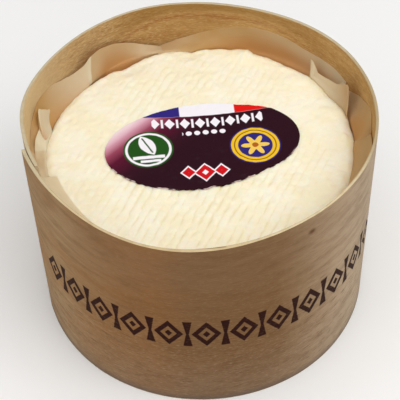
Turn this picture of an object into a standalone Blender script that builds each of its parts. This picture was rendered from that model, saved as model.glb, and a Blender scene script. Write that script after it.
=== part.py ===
# A small soft cheese with a ridged top, in a round box of thin poplar veneer.
# The cheese stands in a folded sheet of greaseproof paper and wears an oval paper label.
# Metres, +Z up, the box standing on z = 0 with its middle on the Z axis. Angles run from +X towards +Y.

import math

import bmesh
import bpy
from mathutils import Vector, noise

MM = 0.001
GAP = 0.3 * MM

# The box: one long strip of veneer wound once round and lapped on the left
BOX_RADIUS = 42.5 * MM
BOX_HEIGHT = 58.5 * MM
VENEER = 0.85 * MM
LAP_GAP = 0.15 * MM
OUTER_END = 193.7
INNER_END = 202.6 + 360.0
LAP_DEGREES = INNER_END - 360.0 - OUTER_END
JOG_DEGREES = 26.0
OUTER_END_LIFT = 0.1 * MM
LIFT_DEGREES = 6.0
STRIP_STEP = 2.5
BASE_THICKNESS = 1.5 * MM
BASE_STEP = 4.0

# The thin wall is a little out of round at the rim: waves in a turn, height, angle of the first crest
RIM_WAVES = (
    (2, 0.23 * MM, -18.0),
    (3, 0.41 * MM, 22.0),
    (4, 0.28 * MM, 1.0),
    (5, 0.30 * MM, -32.0),
)

# The paper liner
PAPER = 0.2 * MM
PAPER_STEP = 3.0
FOLD_REACH = 0.35
PAPER_FLOOR = BASE_THICKNESS + GAP
LEAN_FROM = 44.0 * MM
# The sheet runs counterclockwise in stretches. Each has its first and last angle, its layer at both ends
# (0 against the cheese, 1 against the wall, under 0 leaning in over the cheese), and the heights of its
# top edge in mm, evenly spaced. Where a stretch runs backwards, the sheet is folded over on itself.
PAPER_RUNS = (
    (-78.0, -4.0, 0.85, 0.75, (51.0, 49.0, 48.0, 47.6, 48.0, 50.0)),
    (-4.0, 9.0, 0.75, 0.0, (50.0, 50.2, 46.2)),
    (8.6, 1.0, 0.45, 0.5, (46.0, 47.0)),
    (-0.4, 22.8, 1.0, 1.0, (53.2, 54.5, 53.4, 51.4, 48.7)),
    (22.6, 18.8, 0.5, 0.5, (49.2, 52.3)),
    (18.4, 41.0, 0.0, 0.0, (52.7, 50.9, 49.0, 48.3, 50.0)),
    (40.6, 26.4, 0.5, 0.5, (49.8, 50.2)),
    (26.0, 104.0, 1.0, 1.0, (50.6, 53.0, 54.3, 53.9, 52.2, 49.0, 45.0)),
    (104.0, 132.6, 1.0, 1.0, (45.0, 48.5, 51.0, 51.8, 50.6)),
    (133.2, 143.0, 0.0, 0.9, (47.5, 48.3, 49.6)),
    (143.0, 195.0, 0.9, 1.0, (49.6, 52.8, 53.7, 52.7, 49.5, 46.6, 45.6)),
    (194.6, 160.8, 0.5, 0.5, (45.6, 47.3)),
    (160.4, 198.6, 0.0, 0.0, (47.4, 46.6, 46.2, 46.4)),
    (200.4, 238.0, -1.75, -1.5, (51.2, 51.6, 50.0, 48.7, 48.2)),
    (238.0, 282.0, -1.5, 0.85, (48.2, 48.6, 50.4, 51.8, 51.0)),
)

# The cheese
CHEESE_RADIUS = 38.8 * MM
CHEESE_TOP = 46.9 * MM
CHEESE_FOOT = PAPER_FLOOR + PAPER + GAP
SHOULDER = 4.0 * MM
SHOULDER_STEPS = (30.0, 60.0, 90.0)
FOOT_ROUND = 2.0 * MM
TOP_RADIUS = CHEESE_RADIUS - SHOULDER

# The ridges that the draining mat leaves on the top
RIDGE_PITCH = 2.05 * MM
RIDGE_DIRECTION = 63.0
GROOVE_DEPTH = 0.45 * MM
GROOVE_WHOLE = 0.7
GROOVE_BROKEN = 0.6
BREAK_LENGTH = 6.0 * MM
MEANDER = 0.8 * MM
MEANDER_LENGTH = 26.0 * MM
STRAIGHT_BORDER = 3.0 * MM
LUMP = 0.12 * MM
LUMP_LENGTH = 5.0 * MM
NOISE_APART = Vector((0.0, 0.0, 7.0))
COLUMNS_A_RIDGE = 3
COLUMN_WIDTH = RIDGE_PITCH / COLUMNS_A_RIDGE
LAST_COLUMN = math.floor(TOP_RADIUS / COLUMN_WIDTH)
RIDGE_ROWS = 13

# The label
LABEL_CENTRE = (0.4 * MM, 1.0 * MM)
LABEL_HALF_LENGTH = 24.3 * MM
LABEL_HALF_WIDTH = 14.9 * MM
LABEL_TURN = 3.4
LABEL_THICKNESS = 0.25 * MM
LABEL_FOLLOWS = 0.75
LABEL_ROWS = 6

POPLAR = ((0.55, 0.40, 0.25, 1.0), 0.75)
GREASEPROOF = ((0.62, 0.46, 0.30, 1.0), 0.55)
RIND = ((0.93, 0.86, 0.64, 1.0), 0.6)
PRINTED_PAPER = ((0.10, 0.03, 0.06, 1.0), 0.4)


def ease(share):
    """A smooth rise from 0 to 1 as share goes from 0 to 1."""
    share = min(max(share, 0.0), 1.0)
    return share * share * (3.0 - 2.0 * share)


def around(radius, angle, height):
    """The point at this radius, angle and height."""
    turn = math.radians(angle)
    return Vector((radius * math.cos(turn), radius * math.sin(turn), height))


def between(first, last, share):
    return first + (last - first) * share


def rim_shift(angle, height):
    """How far the wall stands off its circle, from nothing at the foot to the most at the rim."""
    waves = sum(rise * math.cos(math.radians(count * (angle - crest))) for count, rise, crest in RIM_WAVES)
    return waves * height / BOX_HEIGHT


def strip_radius(angle, height):
    """Radius of the strip's outer face, at an angle between OUTER_END and INNER_END."""
    under = ease((angle - (INNER_END - LAP_DEGREES - JOG_DEGREES)) / (JOG_DEGREES - 1.0))
    lifted = 1.0 - ease((angle - OUTER_END) / LIFT_DEGREES)
    inset = under * (VENEER + LAP_GAP) - lifted * OUTER_END_LIFT
    return BOX_RADIUS - inset + rim_shift(angle, height)


def inside_of_wall(angle, height):
    """Radius of the innermost wood at this angle, with the end of the strip a little longer than it is."""
    turned = (angle - OUTER_END) % 360.0 + OUTER_END
    clear = LAP_DEGREES + 0.5
    if turned < OUTER_END + clear:
        turned = min(turned + 360.0, INNER_END)
    return strip_radius(turned, height) - VENEER


def steps(first, last, step):
    """Evenly spaced values from first to last, at most a step apart."""
    count = max(1, math.ceil(abs(last - first) / step))
    return [between(first, last, i / count) for i in range(count + 1)]


def material(name, look):
    colour, roughness = look
    new = bpy.data.materials.new(name)
    new.use_nodes = True
    shader = new.node_tree.nodes["Principled BSDF"]
    shader.inputs["Base Color"].default_value = colour
    shader.inputs["Roughness"].default_value = roughness
    new.diffuse_color = colour
    return new


def finish(name, shape, look, sharp_degrees=35.0):
    """Makes the object from its bmesh, with faces outwards, smooth but for its edges."""
    bmesh.ops.recalc_face_normals(shape, faces=shape.faces)
    mesh = bpy.data.meshes.new(name)
    shape.to_mesh(mesh)
    shape.free()
    mesh.shade_smooth()
    mesh.set_sharp_from_angle(angle=math.radians(sharp_degrees))
    mesh.materials.append(look)
    made = bpy.data.objects.new(name, mesh)
    bpy.context.scene.collection.objects.link(made)
    return made


def raise_outline(shape, faces, height):
    """Extrudes flat faces straight up and returns the new top vertices."""
    grown = bmesh.ops.extrude_face_region(shape, geom=faces)
    top = [v for v in grown["geom"] if isinstance(v, bmesh.types.BMVert)]
    bmesh.ops.translate(shape, verts=top, vec=(0.0, 0.0, height))
    return top


def build_band():
    """The wound strip of veneer, round at the foot and a little out of round at the rim."""
    shape = bmesh.new()
    rows = []
    for angle in steps(OUTER_END, INNER_END, STRIP_STEP):
        outer = strip_radius(angle, 0.0)
        rows.append([shape.verts.new(around(outer - depth, angle, 0.0)) for depth in (0.0, VENEER)])
    bridge_columns(shape, rows)
    for vert in raise_outline(shape, shape.faces[:], BOX_HEIGHT):
        angle = math.degrees(math.atan2(vert.co.y, vert.co.x))
        vert.co += around(rim_shift(angle, BOX_HEIGHT), angle, 0.0)
    return finish("box_band", shape, material("poplar veneer", POPLAR))


def build_base():
    """The disc that closes the foot of the box, cut to the inside of the wound strip."""
    shape = bmesh.new()
    outline = []
    for angle in steps(OUTER_END, OUTER_END + 360.0, BASE_STEP)[:-1]:
        outline.append(shape.verts.new(around(inside_of_wall(angle, 0.0) - GAP, angle, 0.0)))
    raise_outline(shape, [shape.faces.new(outline)], BASE_THICKNESS)
    return finish("box_base", shape, material("poplar base", POPLAR))


def paper_path():
    """The sheet's way round as (angle, layer, height of the top edge), with each fold rounded by a point."""
    path = []
    following = PAPER_RUNS[1:] + PAPER_RUNS[:1]
    for (first, last, layer, end_layer, heights), (next_first, next_last, next_layer, _, next_heights) in zip(
        PAPER_RUNS, following
    ):
        angles = steps(first, last, PAPER_STEP)
        if (last - next_first) % 360.0 == 0.0:
            angles.pop()
        spans = len(heights) - 1
        for angle in angles:
            share = (angle - first) / (last - first)
            place = min(int(share * spans), spans - 1)
            top = smooth_between(heights, place, share * spans - place) * MM
            path.append((angle, between(layer, end_layer, share), top))
        if (last - first) * (next_last - next_first) < 0.0:
            beyond = FOLD_REACH if last > first else -FOLD_REACH
            turn = max(last, next_first) if last > first else min(last, next_first)
            top = (heights[-1] + next_heights[0]) / 2.0 * MM
            path.append((turn + beyond, (end_layer + next_layer) / 2.0, top))
    return path


def smooth_between(values, place, share):
    """A smooth curve through evenly spaced values."""
    before = values[max(place - 1, 0)]
    first = values[place]
    last = values[place + 1]
    after = values[min(place + 2, len(values) - 1)]
    slope = (last - before) / 2.0
    end_slope = (after - first) / 2.0
    rise = last - first
    return (
        first
        + slope * share
        + (3.0 * rise - 2.0 * slope - end_slope) * share**2
        + (slope + end_slope - 2.0 * rise) * share**3
    )


def paper_point(angle, layer, top, height):
    """A point on the sheet's middle, at a height up to its top edge."""
    nearest = CHEESE_RADIUS + GAP + PAPER
    furthest = inside_of_wall(angle, height) - GAP - PAPER
    room = furthest - nearest
    radius = nearest + max(layer, 0.0) * room
    if layer < 0.0 and height > LEAN_FROM:
        radius += layer * (BOX_RADIUS - VENEER - GAP - nearest) * (height - LEAN_FROM) / (top - LEAN_FROM)
    return around(radius, angle, height)


def sheet_ring(shape, path, height_of):
    """One level of the sheet: its outer and inner vertices, half its thickness to each side of the path."""
    middle = [paper_point(angle, layer, top, height_of(top)) for angle, layer, top in path]
    outer = []
    inner = []
    for before, point, after in zip(middle[-1:] + middle[:-1], middle, middle[1:] + middle[:1]):
        along = (after - before).xy.normalized()
        out = Vector((along.y, -along.x, 0.0)) * PAPER / 2.0
        outer.append(shape.verts.new(point + out))
        inner.append(shape.verts.new(point - out))
    return outer, inner


def build_paper():
    """The folded liner: a flat floor under the cheese and a wall that stands up round it."""
    path = paper_path()
    shape = bmesh.new()
    foot, floor = sheet_ring(shape, path, lambda top: PAPER_FLOOR)
    bmesh.ops.translate(shape, verts=floor, vec=(0.0, 0.0, PAPER))
    waist, inner_waist = sheet_ring(shape, path, lambda top: LEAN_FROM)
    brim, inner_brim = sheet_ring(shape, path, lambda top: top)
    rings = (foot, waist, brim, inner_brim, inner_waist, floor)
    for ring, following in zip(rings, rings[1:]):
        for i in range(len(ring)):
            shape.faces.new((ring[i - 1], ring[i], following[i], following[i - 1]))
    shape.faces.new(foot)
    shape.faces.new(floor)
    return finish("paper", shape, material("greaseproof paper", GREASEPROOF), 50.0)


def bridge_columns(shape, columns):
    """Faces between neighbouring lines of as many vertices each."""
    for line, following in zip(columns, columns[1:]):
        for i in range(len(line) - 1):
            shape.faces.new((line[i], line[i + 1], following[i + 1], following[i]))


def ridge_axes():
    """Unit vectors along the ridges and across them."""
    turn = math.radians(RIDGE_DIRECTION)
    along = Vector((math.cos(turn), math.sin(turn), 0.0))
    across = Vector((math.sin(turn), -math.cos(turn), 0.0))
    return along, across


def ridge_point(column, way):
    """The place and relief of the top surface on a numbered line along the ridges, each third one a groove."""
    along, across = ridge_axes()
    level = across * (column * COLUMN_WIDTH) + along * way
    inward = ease((TOP_RADIUS - level.length) / STRAIGHT_BORDER)
    level += across * MEANDER * inward * noise.noise(level / MEANDER_LENGTH)
    lump = LUMP * noise.noise(level / LUMP_LENGTH)
    broken = GROOVE_WHOLE + GROOVE_BROKEN * noise.noise(level / BREAK_LENGTH + NOISE_APART)
    sunk = GROOVE_DEPTH * min(max(broken, 0.1), 1.0) if column % COLUMNS_A_RIDGE == 0 else 0.0
    return level, lump - sunk


def turn_border(shape, border, place):
    """Extrudes a closed border, sets each new vertex by place(vertex, its angle), and returns the new border."""
    grown = bmesh.ops.extrude_edge_only(shape, edges=border)["geom"]
    for vert in [v for v in grown if isinstance(v, bmesh.types.BMVert)]:
        vert.co = place(vert, math.degrees(math.atan2(vert.co.y, vert.co.x)))
    return [e for e in grown if isinstance(e, bmesh.types.BMEdge)]


def build_cheese():
    """The ridged top, then the rounded shoulder, the straight side and the rounded foot."""
    shape = bmesh.new()
    relief_of = shape.verts.layers.float.new("relief")
    columns = []
    for column in range(-LAST_COLUMN, LAST_COLUMN + 1):
        half = math.sqrt(TOP_RADIUS**2 - (column * COLUMN_WIDTH) ** 2)
        verts = []
        for row in range(RIDGE_ROWS):
            level, relief = ridge_point(column, between(-half, half, row / (RIDGE_ROWS - 1)))
            vert = shape.verts.new((level.x, level.y, CHEESE_TOP + relief))
            vert[relief_of] = relief
            verts.append(vert)
        columns.append(verts)
    bridge_columns(shape, columns)
    border = [e for e in shape.edges if e.is_boundary]
    for step in SHOULDER_STEPS:
        turn = math.radians(step)

        def on_shoulder(vert, angle):
            out = SHOULDER + vert[relief_of] * (1.0 - step / 90.0)
            height = CHEESE_TOP - SHOULDER + out * math.cos(turn)
            return around(TOP_RADIUS + out * math.sin(turn), angle, height)

        border = turn_border(shape, border, on_shoulder)
    border = turn_border(shape, border, lambda vert, angle: around(CHEESE_RADIUS, angle, CHEESE_FOOT + FOOT_ROUND))
    border = turn_border(shape, border, lambda vert, angle: around(CHEESE_RADIUS - FOOT_ROUND, angle, CHEESE_FOOT))
    bmesh.ops.contextual_create(shape, geom=border)
    return finish("cheese", shape, material("soft white rind", RIND))


def label_chord(offset):
    """Where a line along the ridges, at this offset, enters and leaves the oval label."""
    along, across = ridge_axes()
    turn = math.radians(LABEL_TURN)
    length_way = Vector((math.cos(turn), math.sin(turn), 0.0)) / LABEL_HALF_LENGTH
    width_way = Vector((-math.sin(turn), math.cos(turn), 0.0)) / LABEL_HALF_WIDTH
    start = across * offset - Vector((*LABEL_CENTRE, 0.0))
    square = along.dot(length_way) ** 2 + along.dot(width_way) ** 2
    half_slope = start.dot(length_way) * along.dot(length_way) + start.dot(width_way) * along.dot(width_way)
    rest = start.dot(length_way) ** 2 + start.dot(width_way) ** 2 - 1.0
    inside = half_slope**2 - square * rest
    if inside <= 0.0:
        return None
    return (-half_slope - math.sqrt(inside)) / square, (-half_slope + math.sqrt(inside)) / square


def build_label():
    """A thin oval sheet that lies on the ridges and sinks a little into their grooves."""
    shape = bmesh.new()
    columns = []
    for column in range(-LAST_COLUMN, LAST_COLUMN + 1):
        chord = label_chord(column * COLUMN_WIDTH)
        if chord is None:
            continue
        verts = []
        for row in range(LABEL_ROWS):
            level, relief = ridge_point(column, between(*chord, row / (LABEL_ROWS - 1)))
            height = CHEESE_TOP + GAP + max(relief, relief * LABEL_FOLLOWS)
            verts.append(shape.verts.new((level.x, level.y, height)))
        columns.append(verts)
    bridge_columns(shape, columns)
    raise_outline(shape, shape.faces[:], LABEL_THICKNESS)
    return finish("label", shape, material("printed paper", PRINTED_PAPER), 60.0)


for old in list(bpy.data.objects):
    bpy.data.objects.remove(old, do_unlink=True)

build_band()
build_base()
build_paper()
build_cheese()
build_label()
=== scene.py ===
import math

import bpy
import numpy as np
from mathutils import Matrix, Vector, noise


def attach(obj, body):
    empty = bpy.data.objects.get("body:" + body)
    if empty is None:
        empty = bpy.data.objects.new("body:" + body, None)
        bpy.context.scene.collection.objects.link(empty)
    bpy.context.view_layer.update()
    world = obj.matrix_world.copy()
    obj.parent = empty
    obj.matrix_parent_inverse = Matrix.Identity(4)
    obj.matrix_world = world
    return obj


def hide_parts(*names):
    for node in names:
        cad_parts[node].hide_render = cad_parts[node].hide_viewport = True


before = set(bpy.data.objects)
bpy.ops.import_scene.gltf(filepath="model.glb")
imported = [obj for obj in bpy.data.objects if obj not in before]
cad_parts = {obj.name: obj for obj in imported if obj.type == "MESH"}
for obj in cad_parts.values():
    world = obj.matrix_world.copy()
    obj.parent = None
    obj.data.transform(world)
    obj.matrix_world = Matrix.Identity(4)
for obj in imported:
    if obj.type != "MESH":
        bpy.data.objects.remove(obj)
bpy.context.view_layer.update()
mm = 0.001
perMetre = 1.0 / mm  # mm in each of Blender's units

# ways of making shapes


def ease(share):
    share = min(max(share, 0.0), 1.0)
    return share * share * (3.0 - 2.0 * share)


def between(first, last, share):
    return first + (last - first) * share


def around(radius, degrees, height):
    turn = math.radians(degrees)
    return Vector((radius * math.cos(turn), radius * math.sin(turn), height))


def readTable(table, degrees):
    # straight between the entries of a table of (degrees, value), all the way round
    return float(np.interp(degrees, *zip(*table), period=360.0))


def selectOnly(*pieces):
    # the last one is the active one
    bpy.ops.object.select_all(action="DESELECT")
    for piece in pieces:
        piece.select_set(True)
        bpy.context.view_layer.objects.active = piece


def startGrid(name, columns, rows):
    selectOnly()
    bpy.ops.mesh.primitive_grid_add(x_subdivisions=columns, y_subdivisions=rows, size=2.0)
    piece = bpy.context.object
    piece.name = name
    piece.data.name = name
    return piece


def shapeGrid(piece, place, *notes):
    # place takes a grid point's two shares and gives its point in space, then a number for each note
    verts = piece.data.vertices
    flat = np.empty(len(verts) * 3)
    verts.foreach_get("co", flat)
    shares = (flat.reshape(-1, 3)[:, :2] + 1.0) / 2.0
    placed = [place(u, v) for u, v in shares]
    verts.foreach_set("co", [c for spot in placed for c in spot[0]])
    for number, note in enumerate(notes):
        kept = piece.data.attributes.new(note, "FLOAT", "POINT")
        kept.data.foreach_set("value", [spot[number + 1] for spot in placed])
    piece.data.update()


def useModifier(piece, kind, **settings):
    selectOnly(piece)
    made = piece.modifiers.new(kind.title(), kind)
    for key, value in settings.items():
        setattr(made, key, value)
    bpy.ops.object.modifier_apply(modifier=made.name)


def openEdges(piece):
    # edit mode, with only the open border selected
    selectOnly(piece)
    bpy.ops.object.mode_set(mode="EDIT")
    bpy.ops.mesh.select_mode(type="EDGE")
    bpy.ops.mesh.select_all(action="DESELECT")
    bpy.ops.mesh.select_non_manifold()


def smoothPiece(piece, degrees):
    selectOnly(piece)
    bpy.ops.object.shade_smooth_by_angle(angle=math.radians(degrees))


def toDisc(u, v):
    # the square grid drawn evenly onto a disc of radius 1
    a = 2.0 * u - 1.0
    b = 2.0 * v - 1.0
    if a == 0.0 and b == 0.0:
        return 0.0, 0.0
    eighth = math.pi / 4.0
    if abs(a) > abs(b):
        turn = eighth * b / a
        return a * math.cos(turn), a * math.sin(turn)
    turn = 2.0 * eighth - eighth * a / b
    return b * math.cos(turn), b * math.sin(turn)


# ways of making finishes


def tone(red, green, blue):
    # a colour as a paint program gives it
    return tuple((c / 255.0) ** 2.2 for c in (red, green, blue)) + (1.0,)


class Wire:
    # a socket that sums can be written with
    def __init__(self, look, socket):
        self.look = look
        self.socket = socket

    def __add__(self, other):
        return self.look.sum("ADD", self, other)

    def __radd__(self, other):
        return self.look.sum("ADD", other, self)

    def __sub__(self, other):
        return self.look.sum("SUBTRACT", self, other)

    def __rsub__(self, other):
        return self.look.sum("SUBTRACT", other, self)

    def __mul__(self, other):
        return self.look.sum("MULTIPLY", self, other)

    def __rmul__(self, other):
        return self.look.sum("MULTIPLY", other, self)

    def __truediv__(self, other):
        return self.look.sum("DIVIDE", self, other)

    def __rtruediv__(self, other):
        return self.look.sum("DIVIDE", other, self)

    def __pow__(self, other):
        return self.look.sum("POWER", self, other)

    def __rpow__(self, other):
        return self.look.sum("POWER", other, self)

    def __neg__(self):
        return self.look.sum("MULTIPLY", self, -1.0)

    def __abs__(self):
        return self.look.sum("ABSOLUTE", self)


class Look:
    # a material in the making; x, y and z are the place on the piece in mm
    def __init__(self, name, **constants):
        self.material = bpy.data.materials.new(name)
        self.material.use_nodes = True
        self.tree = self.material.node_tree
        self.shader = self.tree.nodes["Principled BSDF"]
        for key, value in constants.items():
            self.shader.inputs[key.replace("_", " ")].default_value = value
        self.spot = self.node("ShaderNodeTexCoord", {}, {}, "Object")
        self.x, self.y, self.z = (
            self.node("ShaderNodeSeparateXYZ", {}, {0: self.spot}, axis) * perMetre for axis in "XYZ"
        )

    def node(self, kind, settings, sockets, out=0):
        made = self.tree.nodes.new(kind)
        for key, value in settings.items():
            if key == "stops":
                ramp = made.color_ramp.elements
                for place, colour in value[2:]:
                    ramp.new(place)
                for stop, (place, colour) in zip(ramp, sorted(value)):
                    stop.position = place
                    stop.color = colour
            else:
                setattr(made, key, value)
        for key, value in sockets.items():
            if isinstance(value, Wire):
                self.tree.links.new(value.socket, made.inputs[key])
            else:
                made.inputs[key].default_value = value
        return Wire(self, made.outputs[out])

    def sum(self, operation, first, second=0.0):
        return self.node("ShaderNodeMath", {"operation": operation}, {0: first, 1: second})

    def both(self, first, second):
        return self.sum("MINIMUM", first, second)

    def either(self, first, second):
        return self.sum("MAXIMUM", first, second)

    def noise(self, swings, detail, roughness):
        # swings: how often it swings in a mm along x, y and z
        scale = [swing * perMetre for swing in swings]
        spot = self.node("ShaderNodeMapping", {}, {"Vector": self.spot, "Scale": scale})
        sockets = {"Vector": spot, "Scale": 1.0, "Detail": detail, "Roughness": roughness}
        return self.node("ShaderNodeTexNoise", {}, sockets)

    def rise(self, value, low, high):
        sockets = {"Value": value, "From Min": low, "From Max": high}
        return self.node("ShaderNodeMapRange", {"interpolation_type": "SMOOTHSTEP"}, sockets)

    def inside(self, distance, blur):
        # 1 where a distance in mm is under 0, with a soft border
        return 1.0 - self.rise(distance, -blur, blur)

    def mix(self, share, first, second):
        settings = {"data_type": "RGBA", "clamp_factor": True}
        return self.node("ShaderNodeMix", settings, {0: share, 6: first, 7: second}, 2)

    def layers(self, colour, *stains):
        # each stain is how much of it shows and its tone
        for share, stain in stains:
            colour = self.mix(share, colour, stain)
        return colour

    def ramp(self, value, stops):
        return self.node("ShaderNodeValToRGB", {"stops": stops}, {0: value})

    def shine(self, colour):
        return self.node("ShaderNodeBsdfTranslucent", {}, {"Color": colour})

    def mixShaders(self, share, first, second):
        return self.node("ShaderNodeMixShader", {}, {0: share, 1: first, 2: second})

    def note(self, name):
        return self.node("ShaderNodeAttribute", {"attribute_name": name}, {}, 2)

    def feed(self, name, value):
        self.tree.links.new(value.socket, self.shader.inputs[name])

    def bump(self, height, distance, strength=1.0):
        # height is in mm, so distance is too
        sockets = {"Height": height, "Distance": distance * mm, "Strength": strength}
        self.feed("Normal", self.node("ShaderNodeBump", {}, sockets))


# the box: a strip of veneer wound once round, lapped on the left

band = {
    "radius": 42.5 * mm,
    "height": 58.5 * mm,
    "veneer": 0.85 * mm,
    "lapGap": 0.15 * mm,
    "outerEnd": 193.7,  # degrees, as all ends and places round the box are
    "innerEnd": 562.6,
    "jogStart": 26.0,  # degrees before the lap
    "jogRun": 25.0,
    "lift": 0.1 * mm,  # how far the outer end stands off
    "liftDegrees": 6.0,
    "lapSpare": 0.5,  # how far past the inner end the paper still keeps off it
    # how far the rim is out of round: waves in a turn, height in mm, place of a crest
    "rimWaves": ((2, 0.23, -18.0), (3, 0.41, 22.0), (4, 0.28, 1.0), (5, 0.30, -32.0)),
    "columns": 700,
    "rows": 22,
    "rimRound": 0.13 * mm,
    "rimSway": 0.1 * mm,  # how far the rim goes up and down
    "rimSwings": 5.0,
    "sway": 0.05 * mm,  # how uneven the face is
    "swings": 3.0,
    "swingsUp": 60.0,
    "sharp": 60.0,  # degrees between faces, from which an edge is rounded
    "shaded": 50.0,  # degrees between faces, up to which they are shaded as one
    "squarely": 0.95,  # how squarely a face of the strip looks outwards or inwards, past its edges
    "thickest": 0.92 * mm,
    # how thick the strip is all the way round, as degrees and share of the thickest
    "thins": (
        (0, 0.8), (25, 0.85), (80, 0.85), (100, 0.66), (150, 0.66), (175, 0.95), (205, 0.95), (222, 0.68),
        (254, 0.7), (268, 0.9), (277, 0.9), (286, 0.75), (303, 0.62), (325, 0.7), (345, 0.75),
    ),
}
lapDegrees = band["innerEnd"] - 360.0 - band["outerEnd"]


def rimShift(degrees, height):
    waves = (
        rise * mm * math.cos(math.radians(count * (degrees - crest)))
        for count, rise, crest in band["rimWaves"]
    )
    return sum(waves) * height / band["height"]


def stripRadius(degrees, height):
    # the outside of the strip, which passes under its own outer end
    jogStart = band["innerEnd"] - lapDegrees - band["jogStart"]
    under = ease((degrees - jogStart) / band["jogRun"]) * (band["veneer"] + band["lapGap"])
    lifted = (1.0 - ease((degrees - band["outerEnd"]) / band["liftDegrees"])) * band["lift"]
    return band["radius"] - under + lifted + rimShift(degrees, height)


def insideOfWall(degrees, height):
    turned = (degrees - band["outerEnd"]) % 360.0 + band["outerEnd"]
    if turned < band["outerEnd"] + lapDegrees + band["lapSpare"]:
        turned = min(turned + 360.0, band["innerEnd"])
    return stripRadius(turned, height) - band["thickest"] * readTable(band["thins"], degrees)


def bandPoint(u, v):
    degrees = between(band["outerEnd"], band["innerEnd"], u)
    height = band["height"] * v
    spot = around(1.0, degrees, 0.0)
    top = band["rimSway"] * (noise.noise(spot * band["rimSwings"]) - 0.5) * v
    x, y = spot.x * band["swings"], spot.y * band["swings"]
    out = band["sway"] * noise.noise(Vector((x, y, height * band["swingsUp"])))
    return (around(stripRadius(degrees, height) + out, degrees, height + top),)


def makeBand():
    piece = startGrid("veneerBand", band["columns"], band["rows"])
    shapeGrid(piece, bandPoint)
    thickness = piece.vertex_groups.new(name="thickness")
    for vertex in piece.data.vertices:
        degrees = math.degrees(math.atan2(vertex.co.y, vertex.co.x))
        thickness.add([vertex.index], readTable(band["thins"], degrees), "REPLACE")
    useModifier(piece, "SOLIDIFY", thickness=band["thickest"], offset=-1.0, vertex_group="thickness")
    sharp = math.radians(band["sharp"])
    useModifier(piece, "BEVEL", width=band["rimRound"], segments=2, limit_method="ANGLE", angle_limit=sharp)
    smoothPiece(piece, band["shaded"])
    for look in (outsideLook(), insideLook(), edgeLook()):
        piece.data.materials.append(look)
    for face in piece.data.polygons:
        outward = face.normal.dot(Vector((face.center.x, face.center.y, 0.0)).normalized())
        face.material_index = 0 if outward > band["squarely"] else 1 if outward < -band["squarely"] else 2
    return piece


def startVeneer(name, fleckSwings, fibreSwings):
    # the swings are how often the marks come in a mm, round the strip and up it
    look = Look(name, Roughness=0.75, Specular_IOR_Level=0.08)
    grain = look.noise((0.08, 0.08, 0.7), 3.0, 0.6)
    flecks = look.noise((fleckSwings[0], *fleckSwings), 2.0, 0.6)
    fibres = look.noise((fibreSwings[0], *fibreSwings), 2.0, 0.6)
    look.bump(flecks * 0.5 + fibres * 0.5, 0.1, 0.5)
    return look, grain, flecks, fibres


def outsideLook():
    look, grain, flecks, fibres = startVeneer("veneerOutside", (0.3, 3.6), (0.8, 5.0))
    blotches = look.noise((0.11, 0.11, 0.4), 3.0, 0.6)
    cloud = look.noise((0.05, 0.05, 0.1), 2.0, 0.5)
    front = look.rise(-look.y - abs(look.x - 2.0) * 0.4, 6.0, 40.0)
    warm = look.rise(cloud, 0.45, 0.65) * look.rise(-look.x, -10.0, 25.0)
    rough = 0.35 + look.rise(-look.z, -44.0, -14.0) * 0.65 + look.rise(look.x, 16.0, 40.0) * 0.4
    wood = look.layers(
        tone(164, 134, 97),
        (look.rise(grain, 0.3, 0.72), tone(151, 119, 82)),
        # painted shade: browner towards the front, which faces away from the lamps, and redder to the left
        # of it
        (front * 0.77, tone(106, 72, 43)),
        (front * look.rise(-look.x, 2.0, 14.0) * 0.3, tone(158, 104, 56)),
        (warm * 0.3, tone(146, 98, 54)),
        # painted light: greyer and paler to the right, as if lit from that side; greyer and paler too under
        # the rim and at the foot
        (look.rise(look.x, 15.0, 44.0) * 0.85, tone(190, 170, 146)),
        (look.rise(look.z, 36.0, 50.0) * 0.1, tone(150, 130, 108)),
        (look.rise(-look.z, -26.0, 0.0) * 0.25, tone(160, 142, 122)),
        (look.rise(blotches, 0.42, 0.7) * 0.3, tone(104, 74, 46)),
        # flecks and fibres, plainest low down and to the right
        (look.rise(flecks, 0.5, 0.75) * rough * 0.6, tone(92, 64, 40)),
        (look.rise(fibres, 0.5, 0.75) * rough * 0.35, tone(188, 166, 136)),
        # painted shade: grey along the foot, where it meets the floor; then the knot and the ink
        (look.inside(look.z - 1.6, 1.6) * 0.5, tone(96, 88, 84)),
        (knotMask(look) * 0.85, tone(84, 52, 30)),
        (friezeMask(look, fibres) * 0.97, frieze["ink"]),
    )
    look.feed("Base Color", wood)
    return look.material


redBand = {  # under the rim at the back, in mm
    "height": 54.5,
    "middle": 6.0,
    "reach": 17.0,  # how far it runs nearly level, to each side
    "wander": 1.6,
    "half": 0.7,
}


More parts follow.
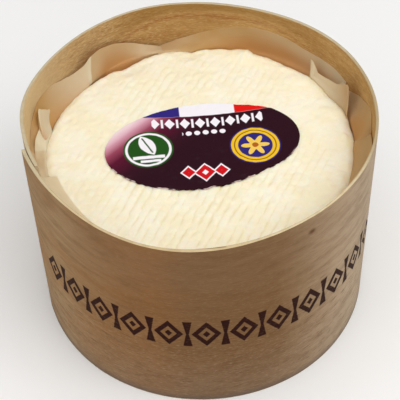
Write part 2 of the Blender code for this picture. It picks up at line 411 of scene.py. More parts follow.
def insideLook():
    look, grain, flecks, fibres = startVeneer("veneerInside", (0.36, 5.0), (0.9, 6.5))
    rough = 0.45 + look.rise(-look.x, -6.0, 24.0) * 0.5
    # painted shade at the back left of the inner wall
    backLeftShade = look.rise(-look.x, 10.0, 30.0) * look.rise(look.y, 5.0, 20.0)
    back = look.rise(look.y, 26.0, 38.0) * look.inside(abs(look.x + 5.0) - 14.0, 7.0)
    # a soft reddish band runs in the grain under the rim, and sags to both sides
    sag = look.z - redBand["height"] + ((look.x - redBand["middle"]) / redBand["reach"]) ** 4.0
    sag += (grain - 0.5) * redBand["wander"]
    streak = look.inside(abs(sag) - redBand["half"], 0.7) * look.rise(look.y, 26.0, 36.0)
    above = look.rise(sag, 0.8, 2.4) * look.rise(look.y, 20.0, 36.0) * look.rise(look.x, -26.0, -12.0)
    wood = look.layers(
        tone(200, 160, 102),
        (look.rise(grain, 0.3, 0.72), tone(182, 138, 82)),
        (look.rise(flecks, 0.45, 0.72) * rough, tone(146, 100, 54)),
        (look.rise(fibres, 0.45, 0.72) * rough, tone(232, 202, 150)),
        # painted light and shade: paler to the left, where that side of the inner wall faces the light, and
        # a little greyer at the back left as painted shade; darker at the back
        (look.rise(-look.x, 29.0, 42.0) * 0.8, tone(226, 200, 154)),
        (backLeftShade * 0.3, tone(178, 152, 120)),
        (back * 0.2, tone(146, 106, 56)),
        # the reddish band, and olive above it
        (streak * look.rise(flecks, 0.3, 0.6) * 0.42, tone(146, 80, 38)),
        (above * (0.6 - look.rise(look.x, 8.0, 24.0) * 0.2), tone(146, 108, 54)),
    )
    look.feed("Base Color", wood)
    return look.material


knot = {
    "degrees": 305.3,
    "height": 53.5 * mm,
    "radius": 0.7,  # in mm
    "flatness": 0.5,
    "blur": 0.45,
}


def knotMask(look):
    # a pin knot near the rim, to the right of the front
    middle = around(band["radius"], knot["degrees"], knot["height"]) * perMetre
    across = (look.x - middle.x) ** 2.0 + (look.y - middle.y) ** 2.0
    away = (across * knot["flatness"] + (look.z - middle.z) ** 2.0) ** 0.5
    return look.inside(away - knot["radius"], knot["blur"])


frieze = {
    "middle": 28.0,  # mm above the foot
    "half": 4.75,
    "repeats": 30,
    "phase": 100.5,  # repeats from where the count starts
    "lozengeHalf": 3.5,  # mm
    "ring": 0.78,  # the middle of a lozenge's outline, as a share of its size
    "ringHalf": 0.22,
    "seed": 0.26,  # the size of the small lozenge inside, likewise
    "waistHalf": 0.35,  # mm
    "flare": 0.16,  # how much a bar widens away from its waist
    "ragged": 0.25,
    "blur": 0.03,
    "barBlur": 0.12,
    "worn": 0.35,  # how much of the ink is gone where the fibres stand out
    "bareFrom": -115.4,  # degrees from the front, towards the right
    "bareTo": -64.6,
    "ink": tone(42, 8, 2),
}


def friezeMask(look, fibres):
    # lozenges with a small lozenge inside, and a waisted bar between each two
    turn = look.sum("ARCTAN2", look.x, -look.y)
    cell = look.sum("FRACT", turn * (frieze["repeats"] / math.tau) + frieze["phase"])
    width = math.tau * band["radius"] / mm / frieze["repeats"]
    side = abs(cell - 0.5) * width
    rise = abs(look.z - frieze["middle"])
    ragged = (fibres - 0.5) * frieze["ragged"]
    lozenge = side / frieze["lozengeHalf"] + rise / frieze["half"] + ragged * 0.3
    outline = look.inside(abs(lozenge - frieze["ring"]) - frieze["ringHalf"], frieze["blur"])
    seed = look.inside(lozenge - frieze["seed"], frieze["blur"])
    waist = (width / 2.0 - side) - frieze["waistHalf"] - rise * frieze["flare"]
    bar = look.inside(look.either(waist, rise - frieze["half"]) + ragged, frieze["barBlur"])
    mark = look.either(look.either(outline, seed), bar)
    low, high = math.radians(frieze["bareFrom"]), math.radians(frieze["bareTo"])
    edge = 0.001
    bare = look.both(look.rise(turn, low - edge, low), 1.0 - look.rise(turn, high, high + edge))
    return mark * (1.0 - bare) * (1.0 - look.rise(fibres, 0.55, 0.85) * frieze["worn"])


splitShadow = {  # painted shadow in a fine split in the rim at the front, in mm
    "radius": 42.32,
    "halfWidth": 0.12,
    "middle": 1.6,
    "halfLength": 3.2,
}


def edgeLook():
    # cut edges, with the painted shadow of a fine split
    look = Look("veneerEdge", Roughness=0.8, Specular_IOR_Level=0.1)
    fibres = look.noise((0.5, 0.5, 1.5), 4.0, 0.6)
    sides = look.rise(look.y, -34.0, -10.0)
    radius = (look.x**2.0 + look.y**2.0) ** 0.5
    line = look.inside(abs(radius - splitShadow["radius"]) - splitShadow["halfWidth"], 0.06)
    run = look.inside(abs(look.x - splitShadow["middle"]) - splitShadow["halfLength"], 0.5)
    front = look.inside(look.y, 1.0)
    wood = look.layers(
        tone(206, 184, 144),
        (sides, tone(194, 180, 150)),
        # palest at the front right; browner at the right, painted shade where the rim's edge rounds away
        # from the light
        (look.rise(look.x, 8.0, 18.0) * (1.0 - sides), tone(216, 198, 160)),
        (look.rise(look.x, 36.0, 41.5) * 0.85, tone(174, 154, 118)),
        (look.rise(fibres, 0.4, 0.7) * 0.4, tone(176, 150, 110)),
        # painted shadow: the dark line of the split
        (look.both(line, run) * front * 0.8, tone(128, 98, 66)),
    )
    look.feed("Base Color", wood)
    look.bump(fibres, 0.06, 0.4)
    return look.material


def baseLook():
    look = Look("baseWood", Roughness=0.7, Specular_IOR_Level=0.25)
    grain = look.noise((0.06, 1.6, 0.06), 4.0, 0.6)
    look.feed("Base Color", look.mix(look.rise(grain, 0.35, 0.7), tone(206, 176, 134), tone(172, 136, 94)))
    look.bump(grain, 0.15, 0.5)
    return look.material


# the cheese

cheese = {
    "radius": 38.6 * mm,
    "top": 46.9 * mm,
    "foot": 2.3 * mm,
    "shoulder": 3.0 * mm,
    "footRound": 2.0 * mm,
    "skirt": 3.0 * mm,  # how far the fine grid runs down the side
    "grid": 300,
    "shaded": 60.0,  # degrees between faces, up to which they are shaded as one
    "pitch": 2.05 * mm,
    "direction": 64.3,
    "groove": 0.2 * mm,
    "whole": 0.55,  # how much of a ridge is left, and how much that varies
    "breaks": 1.1,
    "breakLength": 3.0 * mm,
    "least": 0.08,
    "plainest": 1.05,
    "fainter": 0.35,  # how much fainter the ridges are at the back, and again at the sides
    "backFade": (-6.0 * mm, 18.0 * mm),  # from where, and over what length
    "sideFade": (14.0 * mm, 12.0 * mm),
    "outerFade": (31.5 * mm, 3.5 * mm),  # where the lumps take over from the ridges
    "meander": 0.8 * mm,
    "meanderLength": 26.0 * mm,
    "meanderFade": 3.0 * mm,
    "crumb": 1.9 * mm,  # length of the lumps that a ridge is broken into
    "crumbHeight": 0.16 * mm,
    "stagger": 5.0,  # how far the lumps of two ridges are out of step, in lumps
    "crack": 0.3,  # depth between two lumps, in grooves
    "lump": 0.16 * mm,
    # ripples in the noise, as height and length in mm
    "ridgeRipples": ((0.16, 5.0), (0.1, 1.4)),
    "crumbRipples": ((0.5, 2.5),),
    "breakRipples": ((0.5, 10.0),),
    "lumpRipples": ((0.6, 1.5), (0.25, 0.8)),
    "outerRipples": ((1.5, 2.6),),
    "outerFineRipples": ((0.8, 1.5),),
    "swellRipples": ((1.0, 9.0),),
    "wornReach": 5.0 * mm,
    # how far the shoulder stands out or is worn away, as degrees and mm
    "worn": (
        (-30, 0.0), (-12, -0.25), (-4, -0.2), (2, 0.0), (10, 0.05), (17, 0.8), (22, 0.28), (27, -0.15),
        (40, 0.5), (46, 0.15), (53, 0.0), (60, 0.15), (66, 0.27), (69, 1.1), (72, 0.7), (76, 0.27),
        (83, 0.0), (87, -0.15), (92, -0.85), (97, -0.23), (104, -0.03), (111, -0.4), (117, -0.94),
        (122, -1.2), (126, -0.5), (132, -0.48), (137, -0.39), (150, -0.28), (158, -0.05), (167, -0.15),
        (185, 0.2), (200, 0.0),
    ),
}
alongRidges = around(1.0, cheese["direction"], 0.0)
acrossRidges = around(1.0, cheese["direction"] - 90.0, 0.0)
here = Vector((0.0, 0.0, 0.0))
apart = Vector((0.0, 0.0, 7.0))  # another layer of the noise


def ripples(level, name, layer=here):
    waves = cheese[name]
    return sum(height * noise.noise(level / (length * mm) + layer) for height, length in waves)


def past(place, fade):
    # 0 up to the fade's start, 1 from its end on
    start, run = cheese[fade]
    return ease((place - start) / run)


def rindRelief(level):
    # level is a point of the top's plane; gives the relief in metres, and how deep in a groove it is
    along = level.dot(alongRidges)
    across = level.dot(acrossRidges)
    inward = ease((cheese["radius"] - cheese["shoulder"] - level.length) / cheese["meanderFade"])
    across -= cheese["meander"] * inward * noise.noise(level / cheese["meanderLength"])
    phase = across / cheese["pitch"] + ripples(level, "ridgeRipples")
    ridge = math.floor(phase)
    crest = abs(math.sin(math.pi * phase))
    # each ridge is a row of lumps of uneven height
    start = cheese["stagger"] * noise.cell(Vector((ridge + 0.5, 0.5, 0.5)))
    place = along / cheese["crumb"] + start + ripples(level, "crumbRipples", apart)
    border = abs(math.sin(math.pi * place))
    crumb = Vector((ridge + 0.5, math.floor(place) + 0.5, 0.5))
    height = noise.cell(crumb) * math.sqrt(crest * border)
    crack = (1.0 - border**0.5) * max(noise.cell(Vector((ridge + 0.5, round(place) + 0.5, 4.5))), 0.0)
    crack *= crest * cheese["crack"]
    # the ridges break off here and there, and are plainest towards the front
    place = Vector((ridge * 1.7, along / cheese["breakLength"], 3.0))
    whole = cheese["whole"] + cheese["breaks"] * noise.noise(place)
    whole += ripples(level, "breakRipples", apart)
    plain = cheese["plainest"] - cheese["fainter"] * past(level.y, "backFade")
    plain *= 1.0 - cheese["fainter"] * past(abs(level.x), "sideFade")
    outer = past(level.length, "outerFade")
    groove = (1.0 - crest**0.8) * min(max(whole, cheese["least"]), 1.0) * plain * (1.0 - 0.5 * outer)
    lump = ripples(level, "lumpRipples") + ripples(level, "swellRipples", -apart)
    lump += outer * (ripples(level, "outerRipples", apart) + ripples(level, "outerFineRipples", -apart))
    relief = cheese["lump"] * lump - cheese["groove"] * (groove + crack)
    return relief + cheese["crumbHeight"] * height * plain, min(groove + crack, 1.0)


def cheesePoint(u, v):
    x, y = toDisc(u, v)
    share = math.hypot(x, y)
    way = Vector((x, y, 0.0)) / share if share else Vector((1.0, 0.0, 0.0))
    quarter = math.pi / 2.0
    flat = cheese["radius"] - cheese["shoulder"]
    arc = cheese["shoulder"] * quarter
    run = share * (flat + arc + cheese["skirt"])
    relief, groove = rindRelief(way * min(run, flat + arc))
    # worn most at the shoulder, and less and less inwards and downwards
    worn = readTable(cheese["worn"], math.degrees(math.atan2(y, x))) * mm
    worn *= ease((run - flat) / cheese["wornReach"] + 1.0) * ease((flat + arc - run) / arc + 0.6)
    turn = min(max((run - flat) / cheese["shoulder"], 0.0), quarter)
    fade = 1.0 - 0.75 * turn / quarter
    out = cheese["shoulder"] + relief * fade + worn
    spot = way * (min(run, flat) + out * math.sin(turn))
    spot.z = cheese["top"] - cheese["shoulder"] + out * math.cos(turn) - max(run - flat - arc, 0.0)
    return spot, groove * fade


def makeCheese():
    piece = startGrid("ridgedCheese", cheese["grid"], cheese["grid"])
    shapeGrid(piece, cheesePoint, "groove")
    openEdges(piece)
    drop = cheese["top"] - cheese["shoulder"] - cheese["skirt"] - cheese["foot"] - cheese["footRound"]
    bpy.ops.mesh.extrude_region_move(TRANSFORM_OT_translate={"value": (0.0, 0.0, -drop)})
    bpy.ops.mesh.extrude_region_move(TRANSFORM_OT_translate={"value": (0.0, 0.0, -cheese["footRound"])})
    inward = 1.0 - cheese["footRound"] / cheese["radius"]
    bpy.ops.transform.resize(value=(inward, inward, 1.0), center_override=(0.0, 0.0, cheese["foot"]))
    bpy.ops.mesh.edge_face_add()
    bpy.ops.object.mode_set(mode="OBJECT")
    smoothPiece(piece, cheese["shaded"])
    piece.data.materials.append(rindLook())
    return piece


def rindLook():
    look = Look(
        "rind",
        Roughness=0.5,
        Specular_IOR_Level=0.3,
        Subsurface_Weight=0.3,
        Subsurface_Radius=(1.0, 0.62, 0.3),
        Subsurface_Scale=2.0 * mm,
    )
    groove = look.note("groove")
    patches = look.noise((0.16, 0.16, 0.16), 3.0, 0.55)
    specks = look.noise((1.9, 1.9, 1.9), 2.0, 0.5)
    fine = look.noise((3.0, 3.0, 3.0), 3.0, 0.6)
    rind = look.layers(
        tone(246, 236, 205),
        (look.rise(patches, 0.38, 0.66), tone(248, 241, 219)),
        (look.rise(groove, 0.1, 0.9) * 0.5, tone(227, 210, 156)),
        (look.rise(specks, 0.64, 0.78) * 0.25, tone(224, 208, 152)),
    )
    look.feed("Base Color", rind)
    look.feed("Roughness", 0.42 + look.rise(patches, 0.3, 0.7) * 0.16)
    look.bump(fine, 0.06, 0.5)
    return look.material


# the label

label = {
    "middle": (0.64 * mm, 0.63 * mm),
    "halfLength": 24.2 * mm,
    "halfWidth": 14.45 * mm,
    "turn": 8.2,
    # how far the cut edge strays from an oval, as degrees and mm
    "cut": (
        (-172, -0.4), (-159, -0.35), (-147, -0.3), (-128, 0.0), (-109, 0.4), (-92, 0.3), (-79, 0.1),
        (-64, -0.4), (-56, -0.5), (-47, -0.3), (-28, 0.1), (0, 0.15), (29, 0.32), (39, 0.44), (51, -0.1),
        (62, -0.6), (76, -0.2), (98, -0.15), (124, 0.1), (145, 0.4), (163, 0.0),
    ),
    "thickness": 0.12 * mm,
    "lift": 0.16 * mm,
    "follows": 0.55,  # how much of the rind's relief shows through
    "spans": 0.6,  # how deep it sinks into a groove, as a share of its depth
    "ragged": 0.5 * mm,  # the edge that faces front
    "raggedLength": 1.2 * mm,
    "raggedFade": 20.0 * mm,
    "shaded": 60.0,
    "columns": 170,
    "rows": 110,
}


def labelPoint(u, v):
    x, y = toDisc(u, v)
    edge = math.hypot(x, y)
    degrees = math.degrees(math.atan2(y, x))
    stray = readTable(label["cut"], degrees) * mm * edge**3
    turn = math.radians(label["turn"])
    x *= label["halfLength"] + stray
    y *= label["halfWidth"] + stray
    level = Vector((x * math.cos(turn) - y * math.sin(turn), x * math.sin(turn) + y * math.cos(turn), 0.0))
    level += Vector((*label["middle"], 0.0))
    front = ease(0.5 - level.y / label["raggedFade"]) * edge**12
    level.y += label["ragged"] * front * noise.noise(level / label["raggedLength"])
    relief, groove = rindRelief(level)
    soft = max(relief, -label["spans"] * cheese["groove"]) * label["follows"]
    level.z = cheese["top"] + label["lift"] + soft
    return level, edge


def makeLabel():
    piece = startGrid("ovalLabel", label["columns"], label["rows"])
    shapeGrid(piece, labelPoint, "edge")
    useModifier(piece, "SOLIDIFY", thickness=label["thickness"], offset=1.0)
    smoothPiece(piece, label["shaded"])
    piece.data.materials.append(labelLook())
    return piece


# the print, in mm along and up from its middle
printed = {
    "middle": (0.4, 1.0),  # on the cheese
    "turn": 3.6,
    "white": tone(242, 238, 244),
    "blur": 0.12,
    # the dark ground gets pink towards the upper left, as shares of the way there
    "slope": 0.857,
    "start": 3.0,
    "length": 20.5,
    "ground": (
        (0.0, tone(48, 22, 32)),
        (1.0, tone(236, 212, 214)),
        (0.23, tone(56, 24, 36)),
        (0.54, tone(90, 26, 50)),
        (0.71, tone(150, 70, 92)),
        (0.84, tone(202, 142, 160)),
        (0.9, tone(220, 176, 190)),
    ),
}


def ink(look, distance, colour, blur=printed["blur"]):
    # a stain for look.layers
    return look.inside(distance, blur), colour


def disc(x, y, radius):
    return (x**2.0 + y**2.0) ** 0.5 - radius


def box(look, x, y, halfWide, halfHigh):
    return look.either(abs(x) - halfWide, abs(y) - halfHigh)


def lozenge(x, y, halfWide, halfHigh):
    return (abs(x) / halfWide + abs(y) / halfHigh - 1.0) * min(halfWide, halfHigh)


stripe = {
    "foot": 9.7,
    "middle": 2.0,
    "bend": 0.004,
    "blueEnd": -4.5,
    "redStart": 9.4,
    "blue": tone(52, 42, 122),
    "red": tone(222, 30, 26),
}


def stripeInks(look, x, y):
    # three colours along the back edge
    back = stripe["foot"] + (x - stripe["middle"]) ** 2.0 * stripe["bend"] - y
    return (
        ink(look, back, printed["white"]),
        ink(look, look.either(back, x - stripe["blueEnd"]), stripe["blue"]),
        ink(look, look.either(back, stripe["redStart"] - x), stripe["red"]),
    )


rows = {
    "shift": 30.0,  # keeps the count of marks above 0
    "height": 7.1,
    "bendMiddle": 3.0,
    "bend": 0.005,
    "spacing": 1.9,
    "lozenge": (1.3, 1.8),
    "barStart": 1.62,
    "barHalf": 1.5,
    "middle": 2.2,
    "half": 13.9,
    "dotHeight": 3.7,
    "dotSpacing": 1.05,
    "dotRadius": 0.75,
    "dotMiddle": 1.3,
    "dotHalf": 5.6,
    "blur": 0.1,
}


def rowInks(look, x, y):
    # a row of lozenges and bars, and a shorter one of dots
    curve = y - rows["height"] - (x - rows["bendMiddle"]) ** 2.0 * rows["bend"]
    beat = look.sum("PINGPONG", x + rows["shift"], rows["spacing"])
    bars = look.either(rows["barStart"] - beat, abs(curve) - rows["barHalf"])
    marks = look.both(lozenge(beat, curve, *rows["lozenge"]), bars)
    marks = look.either(marks, abs(x - rows["middle"]) - rows["half"])
    beat = look.sum("PINGPONG", x + rows["shift"], rows["dotSpacing"])
    dots = disc(beat, y - rows["dotHeight"], rows["dotRadius"])
    dots = look.either(dots, abs(x - rows["dotMiddle"]) - rows["dotHalf"])
    return ink(look, marks, printed["white"], rows["blur"]), ink(look, dots, printed["white"], rows["blur"])


leafMark = {
    "middle": (-13.0, -0.7),
    "radius": 6.2,
    "green": tone(40, 82, 32),
    "ring": 5.4,
    "ringHalf": 0.32,
    "leafSides": ((-15.7, -0.5), (-10.7, 1.9)),  # middles of the two arcs
    "leafRound": 4.6,
    "veinMiddle": (-13.2, 0.7),
    "veinTurn": (0.91, 0.43),
    "veinHalf": 0.2,
    "veinInset": 0.5,
    "bars": ((-13.0, -3.4, 3.9, 0.5), (-12.6, -4.7, 2.5, 0.4)),
}


def leafInks(look, x, y):
    # a green round mark with a leaf over two bars
    middle, white = leafMark["middle"], printed["white"]
    ring = abs(disc(x - middle[0], y - middle[1], leafMark["ring"])) - leafMark["ringHalf"]
    leaf = look.either(*(disc(x - cx, y - cy, leafMark["leafRound"]) for cx, cy in leafMark["leafSides"]))
    (cx, cy), (along, up) = leafMark["veinMiddle"], leafMark["veinTurn"]
    vein = abs((x - cx) * along + (y - cy) * up) - leafMark["veinHalf"]
    vein = look.either(vein, leaf + leafMark["veinInset"])
    bars = look.both(*(box(look, x - cx, y - cy, *halves) for cx, cy, *halves in leafMark["bars"]))
    return (
        ink(look, disc(x - middle[0], y - middle[1], leafMark["radius"]), leafMark["green"]),
        ink(look, ring, white),
        ink(look, look.either(leaf, -vein), white),
        ink(look, bars, white),
    )


rosette = {
    "middle": (13.2, -2.1),
    "rim": (6.3, tone(50, 44, 116)),
    "yellow": (5.95, tone(238, 192, 44)),
    "line": (5.1, tone(150, 102, 34)),
    "lineHalf": 0.16,
    "blue": (4.25, tone(50, 44, 120)),
    "petals": (2.5, tone(240, 200, 92)),
    "petalCount": 6.0,
    "heart": (0.8, tone(176, 96, 40)),
}


def rosetteInks(look, x, y):
    # a six-petalled rosette in rings
    x, y = x - rosette["middle"][0], y - rosette["middle"][1]
    away = disc(x, y, 0.0)
    waves = look.sum("COSINE", look.sum("ARCTAN2", y, x) * rosette["petalCount"])
    inks = []
    for name in ("rim", "yellow", "line", "blue", "petals", "heart"):
        radius, colour = rosette[name]
        shape = away - radius
        if name == "line":
            shape = abs(shape) - rosette["lineHalf"]
        if name == "petals":
            shape = shape - waves
        inks.append(ink(look, shape, colour))
    return inks


trio = {
    "middle": (0.2, -9.9),
    "large": (2.9, 3.1),
    "apart": 4.0,
    "smallHeight": -9.6,
    "small": (2.1, 2.3),
    "edge": 0.5,
    "heart": 2.1,
    "red": tone(204, 26, 34),
}


def trioInks(look, x, y):
    # three red lozenges edged in white, with white hearts
    side = abs(x - trio["middle"][0])
    large = lozenge(side, y - trio["middle"][1], *trio["large"])
    small = lozenge(side - trio["apart"], y - trio["smallHeight"], *trio["small"])
    shape = look.both(large, small)
    return (
        ink(look, shape, printed["white"]),
        ink(look, shape + trio["edge"], trio["red"]),
        ink(look, shape + trio["heart"], printed["white"]),
    )


def labelLook():
    look = Look("labelPrint", Roughness=0.42, Specular_IOR_Level=0.08)
    turn = math.radians(printed["turn"])
    left = look.x - printed["middle"][0]
    up = look.y - printed["middle"][1]
    x = left * math.cos(turn) + up * math.sin(turn)
    y = up * math.cos(turn) - left * math.sin(turn)
    fine = look.noise((1.2, 1.2, 1.2), 3.0, 0.5)
    # the bare paper shows here and there along the front edge
    bare = look.rise(look.noise((0.35, 0.35, 0.35), 2.0, 0.5), 0.5, 0.6)
    rim = look.rise(look.note("edge"), 0.984, 0.992) * look.rise(-y, 2.0, 8.0) * bare
    colour = look.layers(
        look.ramp((y - x * printed["slope"] - printed["start"]) / printed["length"], printed["ground"]),
        *stripeInks(look, x, y),
        *rowInks(look, x, y),
        *leafInks(look, x, y),
        *rosetteInks(look, x, y),
        *trioInks(look, x, y),
        (rim * 0.8, tone(228, 206, 200)),
    )
    look.feed("Base Color", colour)
    look.feed("Roughness", 0.26 + fine * 0.16)
    look.bump(fine, 0.03, 0.4)
    return look.material


# the greaseproof paper: one sheet, standing in folds between the cheese and the wall

paper = {
    "thickness": 0.1 * mm,
    "floor": 1.9 * mm,
    "nearest": 38.75 * mm,
    "wallGap": 0.04 * mm,
    "wallHeight": 48.0 * mm,  # where the way to the wall is measured
    "step": 0.5,  # degrees between columns
    "foldReach": 0.45,  # degrees that a doubled edge bulges
    "foldSteps": 6,
    "rows": 34,
    "shaded": 60.0,
    "weld": 0.005 * mm,
    "soleCorners": 160,
    # from here on in mm
    "levels": (16.0, 30.0, 43.4),  # heights on the way up the cheese's side
    "sideRoom": 0.12,  # how far a free stretch stands off the side, as a share of its room
    "shoulderRoom": 0.75,
    "hugged": 37.7,  # radius and height of the bend where the sheet lies against the shoulder
    "huggedHeight": 45.6,
    "followsWorn": (0.7, 0.75),  # how far these two follow the worn shoulder
    "over": (37.1, 0.8),  # the same for a stretch over the shoulder: radius, and how much higher
    "tucked": 39.5,
    "leanIn": 2.05,  # for each layer under 0
    "crumples": ((0.08, 6.0), (0.03, 2.0)),  # height and length
    "crumpleFade": (40.0, 8.0),  # from what height, and over what length
    "ripple": 0.2,  # how uneven the top edge is
    "hollowHeight": 6.0,  # how far under the top edge the painted shade of a hollow is at its deepest
    # creases that slant: angle at the top edge, reach, and how far they lean below it, in degrees
    "slants": (
        (163.0, 16.0, 9.0),
        (133.6, 6.0, 3.0),
        (18.3, 11.0, -5.0),
        (40.8, 2.5, -2.0),
        (195.2, 4.0, -2.5),
    ),
    # stretches of the sheet: angles, layers (0 at the cheese, 1 at the wall, under 0 folded in),
    # heights of the top edge, how it stands (0 along the wall, 1 against the cheese, more over it),
    # and how tanned it looks, the tan also painting shade on some flaps
    "stretches": (
        # behind the front of the wall, to the right
        (
            -78.0, -4.0, (0.98, 0.96, 0.94),
            (51.0, 49.0, 48.0, 47.6, 48.0, 50.0),
            (1.0, 1.0), (0.9, 0.9),
        ),
        # the right side up to its first fold
        (
            -4.0, 0.6, (0.94, 0.94),
            (50.0, 49.3),
            (1.0, 0.9), (0.9, 0.9),
        ),
        # doubled back
        (
            0.6, -1.5, (0.95, 0.96),
            (45.5, 45.5),
            (0.8, 0.6), (0.9, 0.9),
        ),
        # the flap on the right
        (
            -1.5, 22.8, (0.97, 1.0, 1.0, 1.0, 0.95),
            (46.9, 52.6, 53.8, 53.0, 51.9, 51.0, 49.8, 48.6),
            (0.8, 0.8, 0.75, 0.7, 0.5), (0.9, 0.9, 0.6),
        ),
        # its edge doubled back
        (
            22.6, 18.6, (0.75, 0.22),
            (48.6, 53.6),
            (0.5, 0.9), (0.2, 0.6),
        ),
        # the flap at the back right, against the cheese
        (
            18.4, 39.9, (0.16, 0.13, 0.16),
            (54.2, 52.5, 51.0, 49.9, 49.2, 48.6, 48.4, 48.5),
            (1.0, 1.0, 1.0), (0.8, 0.4, 0.3, 0.3),
        ),
        # its upright edge
        (
            39.9, 41.0, (0.16, 0.16),
            (48.5, 49.4, 51.2),
            (1.0, 1.0), (0.3, 0.3),
        ),
        # doubled back behind it
        (
            40.6, 26.4, (0.2, 0.45, 0.8),
            (51.1, 47.4, 46.4, 46.4, 49.8),
            (0.9, 0.5, 0.3), (0.2, 0.1),
        ),
        # the long hump at the back
        (
            26.0, 105.0, (1.0, 1.0, 1.0, 1.0, 1.0, 1.0, 0.9),
            (49.8, 50.5, 50.6, 51.9, 52.4, 51.5, 49.4, 47.0, 45.2),
            (0.3, 0.2, 0.1, 0.1, 0.2, 0.55, 0.9, 1.0, 1.0), (0.4, 0.6, 0.85, 1.0, 0.7),
        ),
        # tucked behind the next hump
        (
            105.0, 93.5, (0.85, 0.65),
            (45.0, 43.0),
            (0.9, 0.9), (0.5, 0.5),
        ),
        # the hump at the back left
        (
            93.5, 133.6, (0.5, 0.7, 0.8, 0.8, 0.6, 0.2),
            (43.2, 44.4, 45.6, 47.0, 48.7, 50.3, 51.5, 52.4, 52.6),
            (1.0, 1.0, 0.6, 0.25, 0.3, 0.7), (0.4, 0.55, 0.75, 0.7),
        ),
        # its edge, where the sheet crosses to the wall
        (
            133.6, 145.0, (0.2, 0.45, 0.7, 0.85, 0.9),
            (52.6, 50.4, 49.4, 49.1, 49.5),
            (0.7, 0.9, 1.0, 1.0, 1.0), (0.1, 0.4, 0.5),
        ),
        # the hump on the left
        (
            145.0, 179.0, (0.9, 1.0, 1.0, 1.0, 1.0, 1.0),
            (49.5, 50.9, 51.5, 51.8, 50.4, 48.3, 46.8),
            (1.0, 1.0, 0.75, 0.4, 0.1), (0.5, 1.0, 0.9),
        ),
        # its low end
        (
            179.0, 195.0, (1.0, 1.0),
            (46.8, 45.6, 45.6),
            (0.1, 0.1), (0.7, 0.7),
        ),
        # doubled back
        (
            194.6, 168.6, (0.55, 0.65, 0.75, 0.6),
            (45.2, 45.0, 45.0, 45.4, 46.5),
            (0.6, 0.6, 0.7, 0.8), (0.4, 0.2),
        ),
        # up to the edge of the small lobe
        (
            168.6, 160.8, (0.62, 0.48, 0.36),
            (46.5, 52.4, 51.5, 50.3, 49.1),
            (0.8, 1.0), (0.15, 0.25),
        ),
        # the small lobe on the left
        (
            160.4, 178.2, (0.3, 0.35, 0.45, 0.66),
            (47.8, 48.0, 48.3, 48.6, 48.5, 48.0, 46.1),
            (1.0, 1.0), (0.15, 0.05),
        ),
        # down from it, off the wall
        (
            178.2, 193.8, (0.62, 0.5, 0.2),
            (46.1, 45.4, 45.8, 46.6, 47.0),
            (1.0, 1.3, 1.5), (0.3, 0.3),
        ),
        # the front left, leaning in over the cheese
        (
            194.4, 250.0, (-1.62, -1.85, -1.85, -1.8, -1.5),
            (47.5, 47.6, 47.5, 47.4, 47.6),
            (1.0, 1.0), (0.2, 0.3),
        ),
        # back out behind the front of the wall
        (
            250.0, 282.0, (-1.5, -0.6, 0.4, 0.85),
            (47.6, 48.2, 50.0, 51.0),
            (1.0, 0.8), (0.5, 0.9),
        ),
    ),
}


def smoothBetween(values, share):
    place = min(int(share * (len(values) - 1)), len(values) - 2)
    part = share * (len(values) - 1) - place
    first, last = values[place], values[place + 1]
    slope = (last - values[max(place - 1, 0)]) / 2.0
    endSlope = (values[min(place + 2, len(values) - 1)] - first) / 2.0
    rise = last - first
    curve = (3.0 * rise - 2.0 * slope - endSlope) * part**2 + (slope + endSlope - 2.0 * rise) * part**3
    return first + slope * part + curve


def paperPath():
    # the sheet's way round as (angle, layer, height of the top edge, stand, tan and painted shade), closed
    path = []
    stretches = paper["stretches"]
    for number, (first, last, *lists) in enumerate(stretches):
        nextFirst, nextLast, *nextLists = stretches[(number + 1) % len(stretches)]
        count = math.ceil(abs(last - first) / paper["step"])
        for i in range(count if (last - nextFirst) % 360.0 == 0.0 else count + 1):
            share = i / count
            path.append((between(first, last, share), *(smoothBetween(values, share) for values in lists)))
        if (last - first) * (nextLast - nextFirst) < 0.0:
            forward = 1.0 if last > first else -1.0
            turn = max(last * forward, nextFirst * forward) * forward
            for i in range(1, paper["foldSteps"]):
                share = i / paper["foldSteps"]
                degrees = turn + forward * paper["foldReach"] * math.sin(math.pi * share)
                values = (between(old[-1], new[0], share) for old, new in zip(lists, nextLists))
                path.append((degrees, *values))
    return path + path[:1]


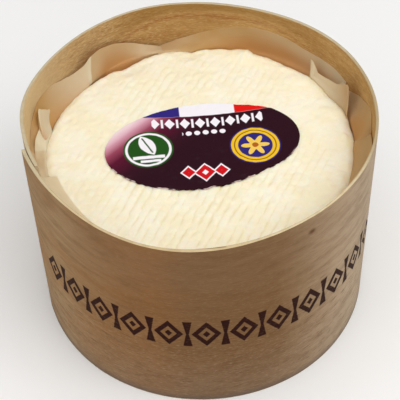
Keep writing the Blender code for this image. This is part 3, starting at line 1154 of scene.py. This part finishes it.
def paperPoint(path, u, v):
    degrees, layer, top, hug, tan = path[round(u * (len(path) - 1))]
    nearest, floor = paper["nearest"] / mm, paper["floor"] / mm
    out = max(layer, 0.0)
    folded = min(max(-layer, 0.0), 1.0)
    near = min(hug, 1.0)
    over = hug - near
    lean = sum(turn * ease(1.0 - abs(degrees - at) / reach) for at, reach, turn in paper["slants"])
    wall = (insideOfWall(degrees, paper["wallHeight"]) - paper["wallGap"]) / mm
    room = out * (wall - nearest)
    worn = readTable(cheese["worn"], degrees + lean)
    wornOut, wornUp = (share * worn for share in paper["followsWorn"])
    # the sheet's radius at the side, the bend, halfway and the top edge
    side = nearest + room * between(paper["sideRoom"], 0.0, near)
    shoulder = between(nearest + room * paper["shoulderRoom"], paper["hugged"] + wornOut + out * 0.1, near)
    shoulder = between(shoulder, paper["over"][0], over)
    shoulder = between(shoulder, paper["tucked"], folded)
    tip = nearest + room + min(layer, 0.0) * paper["leanIn"]
    middle = between(between(shoulder, tip, 0.6), paper["tucked"], folded)
    bend = paper["huggedHeight"] + (0.5 + wornUp) * near + paper["over"][1] * over
    high = between(bend, top, between(0.5, 0.95, folded))
    radius = smoothBetween((side, side, side, side, shoulder, middle, tip), v)
    height = smoothBetween((floor, *paper["levels"], bend, high, top), v)
    degrees += lean * min(3.0 - 3.0 * v, 1.0)
    # crumples where it stands free, and an uneven top edge
    spot = around(radius, degrees, height)
    crumple = sum(rise * noise.noise(spot / length) for rise, length in paper["crumples"])
    start, run = paper["crumpleFade"]
    crumple *= ease((height - start) / run)
    ripple = paper["ripple"] * noise.noise(around(5.0, degrees * 2.2, 9.0)) * v**6
    placed = around((radius + crumple) * mm, degrees, (height + ripple) * mm)
    # painted shade: warmer and darker the deeper under the top edge, where the sheet stands off the cheese
    depth = min(max((top - height) / paper["hollowHeight"], 0.0), 1.0)
    hollow = ease(out * 1.6) * (1.0 - 0.35 * near) * depth
    return placed, tan, hollow


def makePaper():
    path = paperPath()
    piece = startGrid("pleatedPaper", len(path) - 1, paper["rows"])
    shapeGrid(piece, lambda u, v: paperPoint(path, u, v), "tan", "hollow")
    bpy.ops.object.mode_set(mode="EDIT")
    bpy.ops.mesh.select_all(action="SELECT")
    bpy.ops.mesh.remove_doubles(threshold=paper["weld"])
    bpy.ops.object.mode_set(mode="OBJECT")
    useModifier(piece, "SOLIDIFY", thickness=paper["thickness"], offset=0.0)
    piece.data.materials.append(paperLook())
    # the sole, on which the cheese stands
    selectOnly()
    bpy.ops.mesh.primitive_cylinder_add(
        vertices=paper["soleCorners"],
        radius=paper["nearest"] - paper["thickness"],
        depth=paper["thickness"],
        location=(0.0, 0.0, paper["floor"]),
    )
    sole = bpy.context.object
    bpy.ops.object.transform_apply()
    sole.data.materials.append(piece.data.materials[0])
    selectOnly(sole, piece)
    bpy.ops.object.join()
    smoothPiece(piece, paper["shaded"])
    return piece


def paperLook():
    # thin paper: tanned where the wall shows through it, with painted shade in the same tan on some flaps,
    # and a warm painted shade deep in the hollows
    look = Look("greaseproof", Roughness=0.5, Specular_IOR_Level=0.3)
    fibres = look.noise((0.7, 0.7, 0.7), 4.0, 0.6)
    cloud = look.noise((0.12, 0.12, 0.16), 2.0, 0.5)
    # the tan paints the wall showing through and, on some flaps, shade; the hollow tone is painted shade
    tan = look.note("tan")
    hollow = look.rise(look.note("hollow"), 0.1, 0.9) * 0.7
    pale, tanAndShadeTone, hollowShadeTone = tone(252, 246, 222), tone(220, 178, 112), tone(222, 158, 84)
    clouded = look.rise(cloud, 0.4, 0.7) * 0.2, tone(246, 232, 200)
    look.feed("Base Color", look.layers(pale, (tan, tanAndShadeTone), clouded, (hollow, hollowShadeTone)))
    look.bump(fibres, 0.05, 0.4)
    # what shines through it has the same tones, painted shade included
    through = look.mixShaders(tan, look.shine(pale), look.shine(tanAndShadeTone))
    through = look.mixShaders(hollow, through, look.shine(hollowShadeTone))
    mixed = look.mixShaders(0.42, Wire(look, look.shader.outputs[0]), through)
    look.tree.links.new(mixed.socket, look.tree.nodes["Material Output"].inputs["Surface"])
    return look.material


# the room: a pale floor, soft light, and the camera where the photograph was taken

room = {
    "floorTone": tone(246, 246, 246),
    "floorSize": 6.0,
    "floorHeight": -0.0002,
    "aim": (0.0, 0.0, 0.03),  # where the lights point
    "worldStrength": 0.34,
    "lights": (  # name, place, size, power, colour
        ("overheadLight", (0.12, -0.05, 0.9), 0.9, 3.85, (1.0, 0.98, 0.95)),
        ("frontLight", (0.1, -0.7, 0.6), 0.7, 1.4, (1.0, 0.99, 0.97)),
        ("leftLight", (-0.75, -0.2, 0.5), 1.2, 2.4, (1.0, 1.0, 1.0)),
        ("rightLight", (0.55, -0.35, 0.8), 0.5, 2.3, (1.0, 1.0, 1.0)),
    ),
}
camera = {
    "place": (0.0, -0.20825, 0.25593),
    "lens": 108.11,
    "clip": 0.01,
    "turned": (42.34, 1.52, -1.56),
}


def aimedLight(name, place, size, power, colour):
    lamp = bpy.data.lights.new(name, "AREA")
    lamp.size = size
    lamp.energy = power
    lamp.color = colour
    holder = bpy.data.objects.new(name, lamp)
    holder.location = place
    way = Vector(room["aim"]) - Vector(place)
    holder.rotation_euler = way.to_track_quat("-Z", "Y").to_euler()
    bpy.context.scene.collection.objects.link(holder)


def makeRoom():
    selectOnly()
    bpy.ops.mesh.primitive_plane_add(size=room["floorSize"], location=(0.0, 0.0, room["floorHeight"]))
    floor = bpy.context.object
    floor.name = "paleFloor"
    look = Look("floorPaint", Base_Color=room["floorTone"], Roughness=0.9, Specular_IOR_Level=0.1)
    floor.data.materials.append(look.material)
    scene = bpy.context.scene
    scene.world = bpy.data.worlds.new("studio")
    scene.world.use_nodes = True
    sky = scene.world.node_tree.nodes["Background"]
    sky.inputs["Color"].default_value = (1.0, 1.0, 1.0, 1.0)
    sky.inputs["Strength"].default_value = room["worldStrength"]
    for light in room["lights"]:
        aimedLight(*light)
    scene.view_settings.view_transform = "Standard"
    lens = bpy.data.cameras.new("camera")
    lens.lens = camera["lens"]
    lens.clip_start = camera["clip"]
    holder = bpy.data.objects.new("camera", lens)
    holder.location = camera["place"]
    holder.rotation_euler = [math.radians(degrees) for degrees in camera["turned"]]
    scene.collection.objects.link(holder)
    scene.camera = holder


makeRoom()
print("room, lights and camera made")

veneerBand = makeBand()
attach(veneerBand, "root")
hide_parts("box_band")
print("box made")

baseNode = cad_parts["box_base"]
baseNode.data.materials.clear()
baseNode.data.materials.append(baseLook())
print("base finished")

ridgedCheese = makeCheese()
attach(ridgedCheese, "root")
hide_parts("cheese")
print("cheese made")

ovalLabel = makeLabel()
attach(ovalLabel, "root")
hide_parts("label")
print("label made")

pleatedPaper = makePaper()
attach(pleatedPaper, "root")
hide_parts("paper")
print("paper made")
